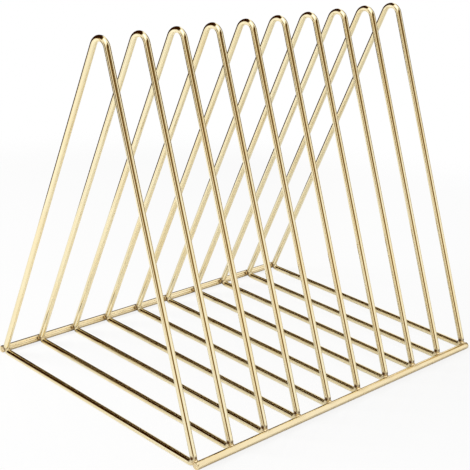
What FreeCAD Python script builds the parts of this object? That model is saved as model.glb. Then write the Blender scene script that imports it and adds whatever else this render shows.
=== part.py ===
import FreeCAD, Part
import math
import os

# Triangular magazine rack of bent and welded round bar.
# X runs along the row of triangles, Y from front to rear, Z up.
# The origin is on the surface that the rack stands on, under the middle of the rack.

# Driving dimensions, in millimetres
wire_diameter = 4.2        # round bar that each triangle is bent from
rail_diameter = 5.0        # round bar of the two rails
triangle_count = 10
slot_pitch = 30.0          # from one triangle to the next, along the rails
triangle_width = 196.4     # outside width across the two lower bends
triangle_height = 240.2    # from the underside of the base bar to the top of the arch
arch_radius = 6.8          # bend at the top, to the middle of the wire
corner_radius = 3.3        # bends at the lower corners, to the middle of the wire
weld_setdown = 0.4         # depth that the hot bars are pressed into each other
weld_radius = 2.2          # reach of the weld metal round the middle of the seat
rail_overhang = 1.8        # rail past the middle of the end triangle
rail_end_rounding = 0.6    # rounded edge at the cut ends of a rail

# Sizes that follow from them
wire_radius = wire_diameter / 2
rail_radius = rail_diameter / 2
seat_reach = corner_radius + wire_radius + rail_radius - weld_setdown
bend_y = triangle_width / 2 - wire_radius - corner_radius
bar_z = wire_radius        # the base bars lie on the same surface as the rails
bend_z = bar_z + corner_radius
arch_top_z = bar_z + triangle_height - wire_diameter
arch_z = arch_top_z - arch_radius
seat_drop = bend_z - rail_radius
seat_out = math.sqrt(seat_reach ** 2 - seat_drop ** 2)
rail_y = bend_y + seat_out
row_length = (triangle_count - 1) * slot_pitch
rail_length = row_length + 2 * rail_overhang

FRONT = -1
REAR = 1


def leg_angle():
    """Direction, in the YZ plane, from a bend's centre square to the leg that touches both bends."""
    rise = arch_z - bend_z
    run = -bend_y
    between_bends = math.hypot(run, rise)
    return math.atan2(rise, run) - math.acos((corner_radius - arch_radius) / between_bends)


def on_bend(centre_y, centre_z, radius, angle, side):
    """Point on a bend's centreline, with the rear half mirrored to the front for side FRONT."""
    y = centre_y + radius * math.cos(angle)
    z = centre_z + radius * math.sin(angle)
    return FreeCAD.Vector(0, side * y, z)


def triangle_path():
    """Closed centreline of one triangle at X = 0, starting where the wire's ends meet in the base bar."""
    square_to_leg = leg_angle()
    straight_down = -math.pi / 2
    mid_bend = (straight_down + square_to_leg) / 2

    def corner(angle, side):
        return on_bend(bend_y, bend_z, corner_radius, angle, side)

    def arch(side):
        return on_bend(0, arch_z, arch_radius, square_to_leg, side)

    bar_middle = FreeCAD.Vector(0, 0, bar_z)
    arch_top = FreeCAD.Vector(0, 0, arch_top_z)
    return Part.Wire([
        Part.LineSegment(bar_middle, corner(straight_down, REAR)).toShape(),
        Part.Arc(corner(straight_down, REAR), corner(mid_bend, REAR), corner(square_to_leg, REAR)).toShape(),
        Part.LineSegment(corner(square_to_leg, REAR), arch(REAR)).toShape(),
        Part.Arc(arch(REAR), arch_top, arch(FRONT)).toShape(),
        Part.LineSegment(arch(FRONT), corner(square_to_leg, FRONT)).toShape(),
        Part.Arc(corner(square_to_leg, FRONT), corner(mid_bend, FRONT), corner(straight_down, FRONT)).toShape(),
        Part.LineSegment(corner(straight_down, FRONT), bar_middle).toShape(),
    ])


def bent_triangle():
    """One triangle at X = 0, swept along its centreline, before it is seated on the rails."""
    path = triangle_path()
    bar_middle = FreeCAD.Vector(0, 0, bar_z)
    along_bar = FreeCAD.Vector(0, 1, 0)
    section = Part.Wire(Part.Circle(bar_middle, along_bar, wire_radius).toShape())
    return path.makePipeShell([section], True, False)


def rail(side):
    """One rail with rounded ends, outside the corner bends of its side."""
    start = FreeCAD.Vector(-rail_length / 2, side * rail_y, rail_radius)
    bar = Part.makeCylinder(rail_radius, rail_length, start, FreeCAD.Vector(1, 0, 0))
    rims = [edge for edge in bar.Edges if edge.Closed]
    return bar.makeFillet(rail_end_rounding, rims)


def weld(side, wire, rail_bar):
    """Weld metal that fills the notch all round the seat between one bend and its rail, at X = 0."""
    to_seat = (seat_reach - rail_radius) / seat_reach
    seat_y = bend_y + to_seat * seat_out
    seat_z = bend_z - to_seat * seat_drop
    bead = Part.makeSphere(weld_radius, FreeCAD.Vector(0, side * seat_y, seat_z))
    return bead.cut(rail_bar).cut(wire)


def along_row(shape, index):
    """Copy of a shape at the place of one triangle of the row."""
    copy = shape.copy()
    copy.translate(FreeCAD.Vector(index * slot_pitch - row_length / 2, 0, 0))
    return copy


os.makedirs("parts", exist_ok=True)

rails = {"front": rail(FRONT), "rear": rail(REAR)}
seated_triangle = bent_triangle().cut(rails["front"]).cut(rails["rear"])
welds = {
    "front": weld(FRONT, seated_triangle, rails["front"]),
    "rear": weld(REAR, seated_triangle, rails["rear"]),
}

for index in range(triangle_count):
    along_row(seated_triangle, index).exportStep("parts/triangle_%02d.step" % (index + 1))

for place in ("front", "rear"):
    rails[place].exportStep("parts/%s_rail.step" % place)
    row = [along_row(welds[place], index) for index in range(triangle_count)]
    Part.makeCompound(row).exportStep("parts/%s_welds.step" % place)
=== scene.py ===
import math

import bpy
from mathutils import Matrix, Vector


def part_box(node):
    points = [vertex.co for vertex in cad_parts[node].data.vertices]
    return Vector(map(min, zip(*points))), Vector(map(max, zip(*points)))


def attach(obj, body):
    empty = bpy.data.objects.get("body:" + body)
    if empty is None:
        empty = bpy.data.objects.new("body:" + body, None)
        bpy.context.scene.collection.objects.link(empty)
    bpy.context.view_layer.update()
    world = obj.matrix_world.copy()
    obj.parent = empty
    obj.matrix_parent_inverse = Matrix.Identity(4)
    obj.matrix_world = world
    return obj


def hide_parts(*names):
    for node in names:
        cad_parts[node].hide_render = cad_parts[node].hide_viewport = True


# Triangular magazine rack of bent, welded and gold-plated round bar.
# Metres, in the frame of the CAD: X along the row, Y from front to rear, Z up from the surface under it.

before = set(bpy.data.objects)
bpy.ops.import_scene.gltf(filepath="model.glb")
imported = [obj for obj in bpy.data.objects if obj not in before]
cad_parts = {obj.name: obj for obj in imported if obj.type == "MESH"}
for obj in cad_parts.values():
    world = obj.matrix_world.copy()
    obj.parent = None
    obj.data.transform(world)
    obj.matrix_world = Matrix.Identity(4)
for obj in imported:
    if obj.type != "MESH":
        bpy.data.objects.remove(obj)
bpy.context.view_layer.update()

MM = 0.001
ROOT = "root"
FRONT = -1
REAR = 1
TRIANGLE_COUNT = 10
TRIANGLES = ["triangle_%02d" % number for number in range(1, TRIANGLE_COUNT + 1)]


# Sizes of the bends, the rail ends and the welds

arch_radius = 6.8 * MM            # bend at the top of a triangle, to the middle of the wire
corner_radius = 3.3 * MM          # bends at the lower corners, to the middle of the wire
bend_flattening = 0.05            # share of its thickness that the wire loses across a bend
bend_onset = 0.25                 # share of a bend over which the flattening grows, from either end
rail_end_rounding = 0.6 * MM
weld_reach = 2.2 * MM             # weld metal round the middle of a seat, at most
weld_unevenness = 0.14            # share of that reach that is missing in places round the seat
weld_dips = ((2, 1.7, 1.0), (5, 2.3, 0.5))   # dips round a weld, their turn from weld to weld, their depth
weld_inside = 0.55                # share of the reach where the ring of weld metal begins, under the wire
weld_bulge = 0.16                 # how much a weld's face bulges, as a share of its height or of its reach
weld_draw_in = 0.35               # how much a high face is drawn in again
weld_sink = 0.06 * MM             # depth to which the feet of a weld go under the bars' surfaces

# Marks round the seats: darker plating that is partly painted shade and partly tarnish, matt plating, and
# painted dark reflections

seat_shade_and_stain_reach = 9.0 * MM                       # distance from a seat over which the plating is darker, partly painted shade and partly tarnish
matt_zone = (4.6 * MM, 6.2 * MM)             # distances from a seat at which the matt plating fades and ends
painted_weld_reflection = (2.2 * MM, 2.9 * MM, 3.5 * MM)   # where the painted dark reflection beside a rear weld begins, fades and ends
painted_foot_reflection_bend = 104                         # degrees round a front corner bend, from below up to the painted dark reflections
painted_foot_reflections = (                               # degrees round the wire, and where each painted dark reflection fades and ends
    (84, 1.0 * MM, 1.5 * MM),
    (-84, 1.0 * MM, 1.5 * MM),
    (4, 0.6 * MM, 1.1 * MM),
)

# Sizes and places that follow from the solids

first_low, first_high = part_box(TRIANGLES[0])
rail_low, rail_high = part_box("rear_rail")
wire_radius = (first_high.x - first_low.x) / 2
rail_radius = (rail_high.z - rail_low.z) / 2
rail_y = (rail_high.y + rail_low.y) / 2
rail_z = (rail_high.z + rail_low.z) / 2
rail_end_x = rail_high.x
bar_z = first_low.z + wire_radius
corner_y = first_high.y - wire_radius - corner_radius
corner_z = bar_z + corner_radius
arch_z = first_high.z - wire_radius - arch_radius
seat_reach = math.hypot(rail_y - corner_y, corner_z - rail_z)
triangle_places = [(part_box(cad_node)[0].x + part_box(cad_node)[1].x) / 2 for cad_node in TRIANGLES]

# Fineness of the meshes

WIRE_SIDES = 28
CORNER_STEPS = 14
ARCH_STEPS = 20
STRAIGHT_STEP = 7.0 * MM
BESIDE_BEND = [0.6 * MM, 1.2 * MM, 2.0 * MM, 3.0 * MM, 4.5 * MM]   # closer rings next to a bend
RAIL_SIDES = 32
RAIL_STEP = 2.5 * MM
ROUNDING_STEPS = 5
SAWN_END_RINGS = (0.35, 0.7, 0.94)       # as shares of the radius of a rail's flat end
WELD_STEPS = 40
WELD_FACE_RINGS = (0.2, 0.4, 0.6, 0.8)   # from a weld's foot on the rail to its shoulder on the wire
MAP_EDGE = 0.04                          # share of a strip of the flat map that stays free along its edges


class RingMesh:
    """Gathers rings of points into one mesh, with each corner's place on the bar and on a flat map."""

    def __init__(self, thickness):
        self.thickness = thickness
        self.points = []
        self.faces = []
        self.places = []
        self.strips = []
        self.run = 0.0

    def add(self, rings, runs, closed, radii=None):
        """Joins neighbouring rings with faces. A closed run joins its ends too, an open one is capped."""
        first = len(self.points)
        sides = len(rings[0])
        radii = radii or [self.thickness / 2] * len(runs)
        for ring in rings:
            self.points.extend(ring)
        for step in range(len(rings) if closed else len(rings) - 1):
            here = first + step * sides
            there = first + (step + 1) % len(rings) * sides
            for side in range(sides):
                over = (side + 1) % sides
                self.faces.append((here + side, there + side, there + over, here + over))
                for at, turn in ((step, side), (step + 1, side), (step + 1, side + 1), (step, side + 1)):
                    self.mark(self.run + runs[at], turn / sides, radii[at])
        if not closed:
            last = first + (len(rings) - 1) * sides
            self.close_end(first, sides, self.run + runs[0], radii[0], backwards=False)
            self.close_end(last, sides, self.run + runs[-1], radii[-1], backwards=True)
        self.run += runs[-1]

    def close_end(self, start, sides, run, radius, backwards):
        """Closes an open end with a fan of faces round its middle."""
        middle = len(self.points)
        ring = self.points[start:start + sides]
        self.points.append(sum(ring, Vector()) / sides)
        for side in range(sides):
            over = (side + 1) % sides
            corners = (start + side, start + over, middle)
            spots = ((side, radius), (side + 1, radius), (side + 0.5, 0.0))
            if backwards:
                corners = (corners[1], corners[0], corners[2])
                spots = (spots[1], spots[0], spots[2])
            self.faces.append(corners)
            for turn, away in spots:
                self.mark(run, turn / sides, away)

    def mark(self, run, turn, radius):
        """Notes one corner: its place across and along the bar, and its run and turn for the flat map."""
        angle = 2 * math.pi * turn
        self.places.append((radius * math.cos(angle), radius * math.sin(angle), run))
        self.strips.append((run, turn))

    def flat_map(self):
        """Lays the bar out as equal strips above each other, so that they fill a square."""
        rows = max(1, round(math.sqrt(self.run / (math.pi * self.thickness))))
        row_run = self.run / rows
        inside = 1 - 2 * MAP_EDGE
        spots = []
        at = 0
        for face in self.faces:
            corners = self.strips[at:at + len(face)]
            at += len(face)
            middle_run = sum(run for run, turn in corners) / len(corners)
            row = min(rows - 1, int(middle_run / row_run))
            for run, turn in corners:
                along = MAP_EDGE + inside * (run - row * row_run) / row_run
                spots.append((along, (row + MAP_EDGE + inside * turn) / rows))
        return spots

    def build(self, name):
        """The finished smooth mesh, with its places, its flat map, the darker zone round the seats that is
        partly painted shade, the matt zone, and the painted dark reflections.
        """
        mesh = bpy.data.meshes.new(name)
        mesh.from_pydata(self.points, [], self.faces)
        places = mesh.attributes.new("bar_place", "FLOAT_VECTOR", "CORNER")
        places.data.foreach_set("vector", [part for place in self.places for part in place])
        flat = mesh.uv_layers.new(name="OFBake")
        flat.uv.foreach_set("vector", [part for spot in self.flat_map() for part in spot])
        # The first of these shares is darker plating round the seats, partly painted shade and partly
        # tarnish; the last is painted dark reflections.
        for mark, share_at in (("near_seat", seat_nearness), ("matt", matt_share), ("painted_reflection", painted_reflection_share)):
            shares = mesh.attributes.new(mark, "FLOAT", "POINT")
            shares.data.foreach_set("value", [share_at(point) for point in self.points])
        mesh.shade_smooth()
        mesh.validate()
        return mesh


# Where the triangles sit on the rails

def seat_direction(side):
    """From the middle of a corner bend to the rail that it sits on."""
    return Vector((0, side * (rail_y - corner_y), rail_z - corner_z)).normalized()


def seat_point(x, side):
    """Crest of the rail under one corner bend."""
    corner = Vector((x, side * corner_y, corner_z))
    return corner + seat_direction(side) * (seat_reach - rail_radius)


seats = [seat_point(x, side) for x in triangle_places for side in (FRONT, REAR)]


def pressed_on_rails(point):
    """Moves a point of the wire that would be inside a rail out to the rail's surface: this is the seat."""
    for side in (FRONT, REAR):
        axis = Vector((point.x, side * rail_y, rail_z))
        away = point - axis
        if away.length < rail_radius:
            return axis + away.normalized() * rail_radius
    return point


# Where the plating is darker or matt round the seats, and where dark reflections are painted

def seat_distance(point):
    """How far a point is from the nearest seat."""
    return min((point - seat).length for seat in seats)


def falling(value, start, end):
    """1 up to the start, falling to 0 at the end."""
    return min(1.0, max(0.0, (end - value) / (end - start)))


def seat_nearness(point):
    """1 at a seat, falling to 0 where the darker plating round it ends: partly painted shade, partly
    tarnish.
    """
    return max(0.0, 1.0 - seat_distance(point) / seat_shade_and_stain_reach)


def matt_share(point):
    """1 round a seat, where the welding heat left the plating matt, falling to 0 outside."""
    return falling(seat_distance(point), *matt_zone)


def painted_foot_reflection(x, turn):
    """Middle of a painted dark reflection on a front leg's foot, this many degrees round the wire from its
    outer side.
    """
    bend = math.radians(painted_foot_reflection_bend)
    round_wire = math.radians(turn)
    out = corner_radius + wire_radius * math.cos(round_wire)
    return Vector((
        x - wire_radius * math.sin(round_wire),
        -corner_y - out * math.sin(bend),
        corner_z - out * math.cos(bend),
    ))


def painted_reflection_share(point):
    """1 in the painted dark reflections on the foot of a front leg and beside a rear weld."""
    if point.y > 0:
        begin, fading, end = painted_weld_reflection
        away = seat_distance(point)
        return falling(away, fading, end) if away > begin else 0.0
    x = min(triangle_places, key=lambda place: abs(place - point.x))
    return max(
        falling((point - painted_foot_reflection(x, turn)).length, fading, end) for turn, fading, end in painted_foot_reflections
    )


# The bent triangles

def leg_angle():
    """Direction square to the rear leg, which touches the rear corner bend and the arch."""
    rise = arch_z - corner_z
    between_bends = math.hypot(corner_y, rise)
    return math.atan2(rise, -corner_y) - math.acos((corner_radius - arch_radius) / between_bends)


def bend_weight(share):
    """How much of the flattening a point of a bend has: none next to the straight wire, all further in."""
    return min(1.0, share / bend_onset, (1 - share) / bend_onset)


def on_bend(y, z, radius, angle):
    """Y and Z of a point in the middle of the wire, on a bend round this place."""
    return Vector((y + radius * math.cos(angle), z + radius * math.sin(angle)))


def straight_places(length):
    """Distances of the rings along a straight stretch of wire, closer together next to its two bends."""
    beside = BESIDE_BEND[-1]
    between = length - 2 * beside
    pieces = round(between / STRAIGHT_STEP)
    regular = [beside + between * piece / pieces for piece in range(1, pieces)]
    return BESIDE_BEND + regular + [length - away for away in reversed(BESIDE_BEND)]


def triangle_stations():
    """Middle, outward angle and bend weight of each ring, once round from the rear end of the base bar."""
    leg = leg_angle()
    down = -math.pi / 2
    bends = [
        (corner_y, corner_z, corner_radius, down, leg, CORNER_STEPS),
        (0.0, arch_z, arch_radius, leg, math.pi - leg, ARCH_STEPS),
        (-corner_y, corner_z, corner_radius, math.pi - leg, math.pi - down, CORNER_STEPS),
    ]
    stations = []
    for number, (y, z, radius, start, end, steps) in enumerate(bends):
        for step in range(steps + 1):
            angle = start + (end - start) * step / steps
            stations.append((on_bend(y, z, radius, angle), angle, bend_weight(step / steps)))
        begin = stations[-1][0]
        next_y, next_z, next_radius, next_start = bends[(number + 1) % len(bends)][:4]
        finish = on_bend(next_y, next_z, next_radius, next_start)
        length = (finish - begin).length
        for away in straight_places(length):
            stations.append((begin.lerp(finish, away / length), end, 0.0))
    return stations


def triangle_mesh(name, x):
    """One triangle's wire, flattened a little in its bends and pressed onto the rails."""
    stations = triangle_stations()
    rings = []
    runs = [0.0]
    for middle, angle, bend in stations:
        thick = wire_radius * (1 - bend_flattening * bend)
        ring = []
        for side in range(WIRE_SIDES):
            turn = 2 * math.pi * side / WIRE_SIDES
            out = thick * math.cos(turn)
            ring.append(pressed_on_rails(Vector((
                x + wire_radius * math.sin(turn),
                middle.x + out * math.cos(angle),
                middle.y + out * math.sin(angle),
            ))))
        rings.append(ring)
    for here, there in zip(stations, stations[1:] + stations[:1]):
        runs.append(runs[-1] + (there[0] - here[0]).length)
    wire = RingMesh(2 * wire_radius)
    wire.add(rings, runs, closed=True)
    return wire.build(name)


# The rails

def rail_profile():
    """X and radius of each ring of a rail, from one sawn end over its rounded edge to the other end."""
    flat_radius = rail_radius - rail_end_rounding
    end = [(rail_end_x, flat_radius * share) for share in SAWN_END_RINGS]
    for step in range(ROUNDING_STEPS + 1):
        angle = math.pi / 2 * step / ROUNDING_STEPS
        end.append((
            rail_end_x - rail_end_rounding * (1 - math.cos(angle)),
            flat_radius + rail_end_rounding * math.sin(angle),
        ))
    inner_x = rail_end_x - rail_end_rounding
    steps = round(2 * inner_x / RAIL_STEP)
    middle = [(inner_x - 2 * inner_x * step / steps, rail_radius) for step in range(1, steps)]
    return end + middle + [(-x, radius) for x, radius in reversed(end)]


def rail_mesh(name, side):
    """One straight rail with its sawn and rounded ends."""
    profile = rail_profile()
    rings = []
    runs = [0.0]
    for x, radius in profile:
        ring = []
        for step in range(RAIL_SIDES):
            turn = 2 * math.pi * (step + 0.5) / RAIL_SIDES
            y = side * rail_y + radius * math.cos(turn)
            z = rail_z - radius * math.sin(turn)
            ring.append(Vector((x, y, z)))
        rings.append(ring)
    for (x, radius), (next_x, next_radius) in zip(profile, profile[1:]):
        runs.append(runs[-1] + math.hypot(next_x - x, next_radius - radius))
    bar = RingMesh(2 * rail_radius)
    bar.add(rings, runs, closed=False, radii=[radius for x, radius in profile])
    return bar.build(name)


# The welds

def rail_depth(across):
    """How far the rail's surface lies below its crest, at this distance to the side of it."""
    return rail_radius - math.sqrt(max(0.0, rail_radius ** 2 - across ** 2))


def wire_height(along_rail, across):
    """Height of the corner bend's surface above the rail's crest, at these distances from the seat."""
    outside = corner_radius + math.sqrt(max(0.0, wire_radius ** 2 - along_rail ** 2))
    return (seat_reach - rail_radius) - math.sqrt(max(0.0, outside ** 2 - across ** 2))


def weld_section(turn, reach):
    """Distance and height of the points round one cut through the weld metal, from its inner foot."""
    along, across = math.cos(turn), math.sin(turn)

    def on_rail(distance):
        return -rail_depth(distance * across)

    def on_wire(distance):
        return max(on_rail(distance), wire_height(distance * along, distance * across))

    inner = weld_inside * reach
    foot = (reach, on_rail(reach) - weld_sink)
    shoulder = (reach, on_wire(reach) + weld_sink)
    opening = shoulder[1] - foot[1]
    bulge = weld_bulge * min(opening, reach)
    face = []
    for share in WELD_FACE_RINGS:
        drawn_in = weld_draw_in * opening * share * (1 - share)
        distance = reach - drawn_in + bulge * math.sin(math.pi * share)
        face.append((distance, foot[1] + opening * share))
    inside_top = (inner, on_wire(inner) + weld_sink)
    inside_foot = (inner, on_rail(inner) - weld_sink)
    return [inside_foot, foot] + face + [shoulder, inside_top]


def uneven_reach(number, turn):
    """Reach of one weld of the row in a direction round its seat, less in its dips."""
    dip = sum(depth * math.sin(dips * turn + shift * number) for dips, shift, depth in weld_dips)
    deepest = sum(depth for dips, shift, depth in weld_dips)
    return weld_reach * (1 - weld_unevenness * (0.5 + dip / (2 * deepest)))


def weld_mesh(name, side):
    """The ten welds of one rail, each a collar that fills the notch between a corner bend and the rail."""
    metal = RingMesh(weld_reach)
    up = -seat_direction(side)
    along = Vector((1, 0, 0))
    across = up.cross(along)
    for number, x in enumerate(triangle_places):
        seat = seat_point(x, side)
        rings = []
        runs = [0.0]
        for step in range(WELD_STEPS):
            turn = 2 * math.pi * step / WELD_STEPS
            reach = uneven_reach(number, turn)
            outwards = along * math.cos(turn) + across * math.sin(turn)
            section = weld_section(turn, reach)
            rings.append([seat + outwards * distance + up * height for distance, height in section])
            runs.append(runs[-1] + reach * 2 * math.pi / WELD_STEPS)
        metal.add(rings, runs, closed=True)
    return metal.build(name)


# Node helpers

def node(tree, kind, **settings):
    """A new node with its settings."""
    made = tree.nodes.new(kind)
    for setting, value in settings.items():
        setattr(made, setting, value)
    return made


def calculate(tree, operation, *values):
    """A Math node on numbers or outputs, and its result."""
    made = node(tree, "ShaderNodeMath", operation=operation)
    for socket, value in zip(made.inputs, values):
        if isinstance(value, (int, float)):
            socket.default_value = value
        else:
            tree.links.new(value, socket)
    return made.outputs[0]


def fade(tree, value, start, end):
    """A soft step of a value, from 0 at the start to 1 at the end."""
    made = node(tree, "ShaderNodeMapRange", interpolation_type="SMOOTHSTEP")
    tree.links.new(value, made.inputs["Value"])
    made.inputs["From Min"].default_value = start
    made.inputs["From Max"].default_value = end
    return made.outputs["Result"]


def fill_colour(tree, socket, value):
    """Gives a socket a colour or an output."""
    if isinstance(value, tuple):
        socket.default_value = (*value, 1.0)
    else:
        tree.links.new(value, socket)


def blend_colours(tree, share, first, second):
    """Mixes two colours, each a colour or an output, by a share."""
    made = node(tree, "ShaderNodeMix", data_type="RGBA")
    tree.links.new(share, made.inputs["Factor"])
    for label, value in (("A", first), ("B", second)):
        socket = [s for s in made.inputs if s.name == label and s.type == "RGBA"][0]
        fill_colour(tree, socket, value)
    return [s for s in made.outputs if s.type == "RGBA"][0]


def cloud(tree, place, scale=1.0, detail=2.0, roughness=0.5):
    """Soft noise over a place."""
    made = node(tree, "ShaderNodeTexNoise")
    tree.links.new(place, made.inputs["Vector"])
    made.inputs["Scale"].default_value = scale
    made.inputs["Detail"].default_value = detail
    made.inputs["Roughness"].default_value = roughness
    return made.outputs["Fac"]


def stretched(tree, place, scale):
    """A place with its own scale in each direction."""
    made = node(tree, "ShaderNodeVectorMath", operation="MULTIPLY")
    tree.links.new(place, made.inputs[0])
    made.inputs[1].default_value = scale
    return made.outputs["Vector"]


def on_mesh(tree, name, output):
    """What the mesh carries at each point or corner under this name."""
    return node(tree, "ShaderNodeAttribute", attribute_name=name).outputs[output]


def new_group(name, inputs, outputs):
    """An empty shader node group with named sockets, and its two end nodes."""
    group = bpy.data.node_groups.new(name, "ShaderNodeTree")
    for label, kind in inputs:
        group.interface.new_socket(label, in_out="INPUT", socket_type=kind)
    for label, kind in outputs:
        group.interface.new_socket(label, in_out="OUTPUT", socket_type=kind)
    return group, group.nodes.new("NodeGroupInput"), group.nodes.new("NodeGroupOutput")


def use_group(tree, group, **inputs):
    """Places a group in a material with its own values."""
    made = node(tree, "ShaderNodeGroup", node_tree=group)
    for label, value in inputs.items():
        fill_colour(tree, made.inputs[label.replace("_", " ")], value)
    return made


FLOAT = "NodeSocketFloat"
COLOUR = "NodeSocketColor"
PLACE = "NodeSocketVector"


# Effects that the bars and the welds share

# Noise scales, per metre: across the bar both ways and along it, or the same in all directions
fine_lines = (5200, 5200, 45)
broad_lines = (1500, 1500, 22)
hairlines = (900, 900, 9000)
rubbed_spots = 85.0
tone_drift = 22.0
seat_shade_patches = 620.0
plating_pits = 2600.0

fine_share = 0.6                  # weight of the fine lines among the drawing lines, and of the broad ones
broad_share = 0.4
seat_shade_raggedness = 0.55           # how much the patches move the edge of the darker zone round a seat


def drawing_lines_group():
    """Fine lines that the drawing die leaves along a bar, under the plating."""
    group, given, result = new_group("drawing_lines", [("Place", PLACE)], [("Lines", FLOAT)])
    place = given.outputs["Place"]
    fine = cloud(group, stretched(group, place, fine_lines), detail=3.0, roughness=0.6)
    broad = cloud(group, stretched(group, place, broad_lines), detail=1.0)
    fine_part = calculate(group, "MULTIPLY", fine, fine_share)
    broad_part = calculate(group, "MULTIPLY", broad, broad_share)
    both = calculate(group, "ADD", fine_part, broad_part)
    group.links.new(fade(group, both, start=0.3, end=0.7), result.inputs["Lines"])
    return group


def plating_tone_group():
    """Gold that changes a little in depth along the bars, is darker round a seat (partly painted shade,
    partly tarnish), and has painted dark reflections beside it.
    """
    group, given, result = new_group(
        "plating_tone",
        [
            ("Place", PLACE), ("Gold", COLOUR), ("Deep Gold", COLOUR), ("Stain", COLOUR), ("Burnt", COLOUR),
            ("Near Seat", FLOAT), ("Burnt Share", FLOAT),
        ],
        [("Colour", COLOUR), ("Stained", FLOAT)],
    )
    place = given.outputs["Place"]
    drift = fade(group, cloud(group, place, tone_drift, detail=3.0), start=0.38, end=0.68)
    toned = blend_colours(group, drift, given.outputs["Gold"], given.outputs["Deep Gold"])
    patches = cloud(group, place, seat_shade_patches, detail=4.0, roughness=0.65)
    edge_moves = calculate(group, "MULTIPLY", patches, seat_shade_raggedness)
    ragged = calculate(group, "ADD", given.outputs["Near Seat"], edge_moves)
    shaded_and_stained = fade(group, ragged, start=0.75, end=1.35)
    # Darker plating round the seats, partly painted shade and partly tarnish.
    with_seat_shade_and_stain = blend_colours(group, shaded_and_stained, toned, given.outputs["Stain"])
    # Painted dark reflections beside the rear welds and on the feet of the front legs.
    with_painted_reflection = blend_colours(group, given.outputs["Burnt Share"], with_seat_shade_and_stain, given.outputs["Burnt"])
    group.links.new(with_painted_reflection, result.inputs["Colour"])
    group.links.new(shaded_and_stained, result.inputs["Stained"])
    return group


def rub_marks_group():
    """Hairline rubs from paper and hands, with a few small pits in the plating."""
    group, given, result = new_group(
        "rub_marks", [("Place", PLACE)], [("Rubs", FLOAT), ("Pits", FLOAT)],
    )
    place = given.outputs["Place"]
    hair = fade(group, cloud(group, stretched(group, place, hairlines), roughness=0.7), start=0.55, end=0.72)
    where = fade(group, cloud(group, place, rubbed_spots), start=0.5, end=0.72)
    rubs = calculate(group, "MULTIPLY", hair, where)
    pits = fade(group, cloud(group, place, plating_pits, detail=1.0), start=0.74, end=0.82)
    group.links.new(rubs, result.inputs["Rubs"])
    group.links.new(pits, result.inputs["Pits"])
    return group


drawing_lines = drawing_lines_group()
plating_tone = plating_tone_group()
rub_marks = rub_marks_group()


# Finishes

line_roughness = 0.05             # how much duller the metal is in its drawing lines
rub_roughness = 0.08              # and in its rubs
rub_depth = 0.6                   # as a multiple of the depth of a drawing line
pit_depth = 6
seat_shade_and_stain_gold = (0.82, 0.66, 0.40)   # round the seats: partly painted shade, partly tarnish
painted_reflection_tint = (0.70, 0.54, 0.30)    # painted dark reflections on the rails and the welds
painted_reflection_gold = (0.10, 0.040, 0.010)   # painted dark reflections on the triangles


def plated_metal(
    name, gold, deep_gold, painted_reflection, polish, stain_roughness, matt_roughness, line_depth, ripple_depth, ripples,
):
    """Gold plating over steel, with the marks of drawing, welding and use, painted shade round the seats and
    painted dark reflections.
    """
    material = bpy.data.materials.new(name)
    material.use_nodes = True
    tree = material.node_tree
    shader = tree.nodes["Principled BSDF"]
    shader.inputs["Metallic"].default_value = 1.0
    on_bar = on_mesh(tree, "bar_place", "Vector")
    on_rack = node(tree, "ShaderNodeTexCoord").outputs["Object"]
    lines = use_group(tree, drawing_lines, Place=on_bar).outputs["Lines"]
    marks = use_group(tree, rub_marks, Place=on_bar)
    tone = use_group(
        tree, plating_tone, Place=on_rack, Gold=gold, Deep_Gold=deep_gold, Stain=seat_shade_and_stain_gold, Burnt=painted_reflection,
        Near_Seat=on_mesh(tree, "near_seat", "Fac"), Burnt_Share=on_mesh(tree, "painted_reflection", "Fac"),
    )
    tree.links.new(tone.outputs["Colour"], shader.inputs["Base Color"])
    rough = calculate(tree, "MULTIPLY_ADD", lines, line_roughness, polish)
    rough = calculate(tree, "MULTIPLY_ADD", tone.outputs["Stained"], stain_roughness, rough)
    rough = calculate(tree, "MULTIPLY_ADD", marks.outputs["Rubs"], rub_roughness, rough)
    rough = calculate(tree, "MULTIPLY_ADD", on_mesh(tree, "matt", "Fac"), matt_roughness, rough)
    tree.links.new(rough, shader.inputs["Roughness"])
    height = calculate(tree, "MULTIPLY", cloud(tree, on_rack, ripples), ripple_depth)
    height = calculate(tree, "MULTIPLY_ADD", lines, line_depth, height)
    height = calculate(tree, "MULTIPLY_ADD", marks.outputs["Rubs"], -rub_depth * line_depth, height)
    height = calculate(tree, "MULTIPLY_ADD", marks.outputs["Pits"], -pit_depth * line_depth, height)
    bump = node(tree, "ShaderNodeBump")
    bump.inputs["Distance"].default_value = 1.0
    tree.links.new(height, bump.inputs["Height"])
    tree.links.new(bump.outputs["Normal"], shader.inputs["Normal"])
    return material


triangle_finish = plated_metal(
    "gold_plated_triangle_wire",
    gold=(0.95, 0.85, 0.575), deep_gold=(0.93, 0.80, 0.50), painted_reflection=painted_reflection_gold,
    polish=0.06, stain_roughness=0.16, matt_roughness=0.20,
    line_depth=0.00015 * MM, ripple_depth=0.02 * MM, ripples=120.0,
)
rail_finish = plated_metal(
    "gold_plated_rail_wire",
    gold=(0.94, 0.80, 0.52), deep_gold=(0.91, 0.75, 0.45), painted_reflection=painted_reflection_tint,
    polish=0.07, stain_roughness=0.16, matt_roughness=0.10,
    line_depth=0.00015 * MM, ripple_depth=0.02 * MM, ripples=110.0,
)
weld_finish = plated_metal(
    "gold_plated_weld",
    gold=(0.94, 0.81, 0.55), deep_gold=(0.91, 0.76, 0.47), painted_reflection=painted_reflection_tint,
    polish=0.17, stain_roughness=0.14, matt_roughness=0.06,
    line_depth=0.0004 * MM, ripple_depth=0.1 * MM, ripples=900.0,
)


# Pieces

def place_piece(name, mesh, cad_node, finish):
    """Shows a piece in the place of its CAD node."""
    piece = bpy.data.objects.new(name, mesh)
    bpy.context.collection.objects.link(piece)
    mesh.materials.append(finish)
    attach(piece, ROOT)
    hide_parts(cad_node)


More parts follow.
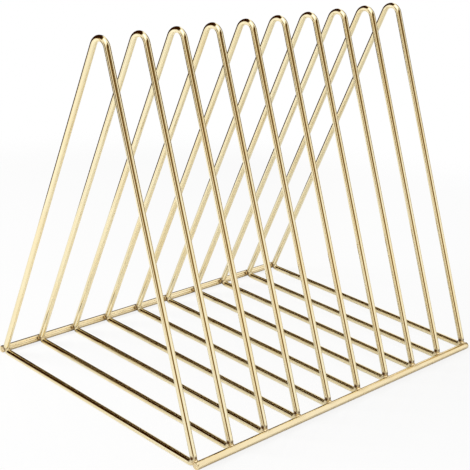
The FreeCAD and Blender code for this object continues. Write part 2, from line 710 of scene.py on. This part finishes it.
for cad_node, x in zip(TRIANGLES, triangle_places):
    wire_name = cad_node.replace("triangle", "triangle_wire")
    place_piece(wire_name, triangle_mesh(wire_name, x), cad_node, triangle_finish)

for place, side in (("front", FRONT), ("rear", REAR)):
    bar_name = place + "_rail_bar"
    place_piece(bar_name, rail_mesh(bar_name, side), place + "_rail", rail_finish)
    row_name = place + "_weld_row"
    place_piece(row_name, weld_mesh(row_name, side), place + "_welds", weld_finish)


# Studio. Compass directions are in degrees: 0 is the rear and 90 the right.

white = (1.0, 1.0, 1.0)
table_radius = 0.60
table_rim = 0.15                  # width over which the table's white runs out into the white behind it
table_steps = 96
table_white = (0.93, 0.93, 0.93)
table_roughness = 0.15
table_gloss = 0.25
table_glow = 0.85                 # share of plain white in the table as the camera sees it
even_light = (0.55, 0.55, 0.55)   # from all round, on what isn't mirrored
lamp_power = 18.5
lamp_size = 0.7
lamp_compass = -50
lamp_height = 40                  # degrees above the horizon
lamp_distance = 1.6
camera_azimuth = -45.78           # degrees from the front, with the left negative
camera_elevation = 19.95
camera_roll = 3.69
camera_place = (-0.56743, -0.53900, 0.37191)
camera_sensor = 36.0              # width, in millimetres
camera_lens = 91.7                # focal length, in millimetres
camera_clip_start = 0.01
camera_clip_end = 50.0

# Darker parts of the room that the metal mirrors. Each has the compass direction and height of its middle,
# and the angles from there at which its full shade ends, core, and the white begins, edge.
dark_shade = (0.028, 0.007, 0.000)
wall_shade = (0.045, 0.016, 0.000)
stand_shade = (0.080, 0.036, 0.006)
room_rim = (0.66, 0.49, 0.23)     # warm half shade between a darker part and the white
room_behind = {"compass": 1, "height": 15, "core": 44, "edge": 49, "shade": dark_shade}
room_above = {"compass": -12, "height": 44, "core": 33, "edge": 40, "shade": dark_shade}
room_left = {"compass": -43, "height": 30, "core": 16, "edge": 21, "shade": dark_shade}
ceiling_front = {"compass": 169, "height": 41, "core": 17, "edge": 23, "shade": wall_shade}
left_stand = {"compass": -76, "height": 1, "core": 13, "edge": 20, "shade": stand_shade}
camera_side = {"compass": -134, "height": 9, "core": 15, "edge": 28, "shade": (0.260, 0.165, 0.060)}
tripod = {"compass": -146, "height": 4, "core": 8, "edge": 17, "shade": stand_shade}
front_drape = {"compass": -153, "height": 28, "core": 13, "edge": 21, "shade": (0.055, 0.020, 0.002)}
right_wall = {"compass": 84, "height": 18, "core": 20, "edge": 26, "shade": wall_shade}
right_stand = {"compass": 106, "height": 12, "core": 10, "edge": 18, "shade": (0.075, 0.032, 0.004)}
room_parts = (
    room_behind, room_above, room_left, ceiling_front, left_stand, camera_side, tripod, front_drape,
    right_wall, right_stand,
)

# Lamps that the metal mirrors as bright patches
lamp_in_front = {"compass": -122, "height": 55, "core": 10, "edge": 16, "shade": (1.6, 1.6, 1.6)}
lamp_above = {"compass": -110, "height": 74, "core": 13, "edge": 18, "shade": (2.0, 2.0, 2.0)}
mirrored_lamps = (lamp_in_front, lamp_above)


def towards(compass, height):
    """Unit vector for a compass direction and a height above the horizon."""
    turn, rise = math.radians(compass), math.radians(height)
    return Vector((math.sin(turn) * math.cos(rise), math.cos(turn) * math.cos(rise), math.sin(rise)))


def outside_part(tree, direction, part, core, edge):
    """0 in a part of the room, rising to 1 from one reach to the other."""
    made = node(tree, "ShaderNodeVectorMath", operation="DOT_PRODUCT")
    tree.links.new(direction, made.inputs[0])
    made.inputs[1].default_value = towards(part["compass"], part["height"])
    angle = calculate(tree, "ARCCOSINE", made.outputs["Value"])
    return fade(tree, angle, math.radians(core), math.radians(edge))


def part_colour(tree, direction, part):
    """Colour of one darker part of the room, with a warm rim, and white all round it."""
    half_way = (part["core"] + part["edge"]) / 2
    outside_rim = outside_part(tree, direction, part, half_way, part["edge"])
    outside_core = outside_part(tree, direction, part, part["core"], half_way)
    rim = blend_colours(tree, outside_rim, room_rim, white)
    return blend_colours(tree, outside_core, part["shade"], rim)


def darker_of(tree, first, second):
    """The darker of two colours, channel by channel."""
    made = node(tree, "ShaderNodeVectorMath", operation="MINIMUM")
    tree.links.new(first, made.inputs[0])
    tree.links.new(second, made.inputs[1])
    return made.outputs["Vector"]


def studio_room():
    """White all round for the camera; polished metal also shows the darker room and the lamps in it."""
    world = bpy.data.worlds.new("studio_room")
    world.use_nodes = True
    world.cycles.sampling_method = "NONE"
    tree = world.node_tree
    background = tree.nodes["Background"]
    direction = node(tree, "ShaderNodeTexCoord").outputs["Generated"]
    room = part_colour(tree, direction, room_parts[0])
    for part in room_parts[1:]:
        room = darker_of(tree, room, part_colour(tree, direction, part))
    for lamp in mirrored_lamps:
        beside_lamp = outside_part(tree, direction, lamp, lamp["core"], lamp["edge"])
        room = blend_colours(tree, beside_lamp, lamp["shade"], room)
    ray = node(tree, "ShaderNodeLightPath")
    mirrored = calculate(tree, "MAXIMUM", ray.outputs["Is Glossy Ray"], ray.outputs["Is Transmission Ray"])
    seen = blend_colours(tree, mirrored, even_light, room)
    shown = blend_colours(tree, ray.outputs["Is Camera Ray"], seen, white)
    tree.links.new(shown, background.inputs["Color"])
    background.inputs["Strength"].default_value = 1.0
    bpy.context.scene.world = world


def table_paint():
    """White paint that looks plain to the camera, keeps a faint shadow, and runs out at the table's rim."""
    paint = bpy.data.materials.new("table_white")
    paint.use_nodes = True
    tree = paint.node_tree
    shader = tree.nodes["Principled BSDF"]
    shader.inputs["Base Color"].default_value = (*table_white, 1.0)
    shader.inputs["Roughness"].default_value = table_roughness
    shader.inputs["Specular IOR Level"].default_value = table_gloss
    glow = node(tree, "ShaderNodeEmission")
    lit = node(tree, "ShaderNodeMixShader")
    ray = node(tree, "ShaderNodeLightPath")
    glow_share = calculate(tree, "MULTIPLY", ray.outputs["Is Camera Ray"], table_glow)
    tree.links.new(glow_share, lit.inputs["Fac"])
    tree.links.new(shader.outputs["BSDF"], lit.inputs[1])
    tree.links.new(glow.outputs["Emission"], lit.inputs[2])
    out_from_middle = node(tree, "ShaderNodeVectorMath", operation="LENGTH")
    tree.links.new(node(tree, "ShaderNodeTexCoord").outputs["Object"], out_from_middle.inputs[0])
    rim_share = fade(tree, out_from_middle.outputs["Value"], table_radius - table_rim, table_radius)
    clear = node(tree, "ShaderNodeBsdfTransparent")
    run_out = node(tree, "ShaderNodeMixShader")
    tree.links.new(rim_share, run_out.inputs["Fac"])
    tree.links.new(lit.outputs["Shader"], run_out.inputs[1])
    tree.links.new(clear.outputs["BSDF"], run_out.inputs[2])
    tree.links.new(run_out.outputs["Shader"], tree.nodes["Material Output"].inputs["Surface"])
    return paint


def studio_table():
    """A plain white round table, whose rim runs out into the white behind it."""
    mesh = bpy.data.meshes.new("floor")
    turns = [2 * math.pi * step / table_steps for step in range(table_steps)]
    rim = [(table_radius * math.cos(turn), table_radius * math.sin(turn), 0.0) for turn in turns]
    mesh.from_pydata(rim, [], [range(table_steps)])
    mesh.materials.append(table_paint())
    table = bpy.data.objects.new("floor", mesh)
    bpy.context.collection.objects.link(table)


def studio_lamp():
    """One soft square lamp at the rear left, turned to the rack. The metal mirrors other lamps instead."""
    lamp = bpy.data.lights.new("soft_lamp", "AREA")
    lamp.energy = lamp_power
    lamp.size = lamp_size
    holder = bpy.data.objects.new("soft_lamp", lamp)
    from_rack = towards(lamp_compass, lamp_height)
    holder.location = from_rack * lamp_distance
    holder.rotation_euler = from_rack.to_track_quat("Z", "Y").to_euler()
    holder.visible_glossy = False
    bpy.context.collection.objects.link(holder)


def studio_camera():
    """The camera off the rack's front left corner, turned slightly about its own axis."""
    azimuth, elevation, roll = (
        math.radians(angle) for angle in (camera_azimuth, camera_elevation, camera_roll)
    )
    back = Vector((
        math.sin(azimuth) * math.cos(elevation),
        -math.cos(azimuth) * math.cos(elevation),
        math.sin(elevation),
    ))
    level = Vector((0, 0, 1)).cross(back).normalized()
    upright = back.cross(level)
    right = math.cos(roll) * level + math.sin(roll) * upright
    up = math.cos(roll) * upright - math.sin(roll) * level
    lens = bpy.data.cameras.new("camera")
    lens.sensor_width = camera_sensor
    lens.lens = camera_lens
    lens.clip_start = camera_clip_start
    lens.clip_end = camera_clip_end
    camera = bpy.data.objects.new("camera", lens)
    stand = Matrix.Translation(camera_place)
    camera.matrix_world = stand @ Matrix((right, up, back)).transposed().to_4x4()
    bpy.context.collection.objects.link(camera)
    bpy.context.scene.camera = camera


studio_room()
studio_table()
studio_lamp()
studio_camera()
bpy.context.scene.view_settings.view_transform = "Standard"
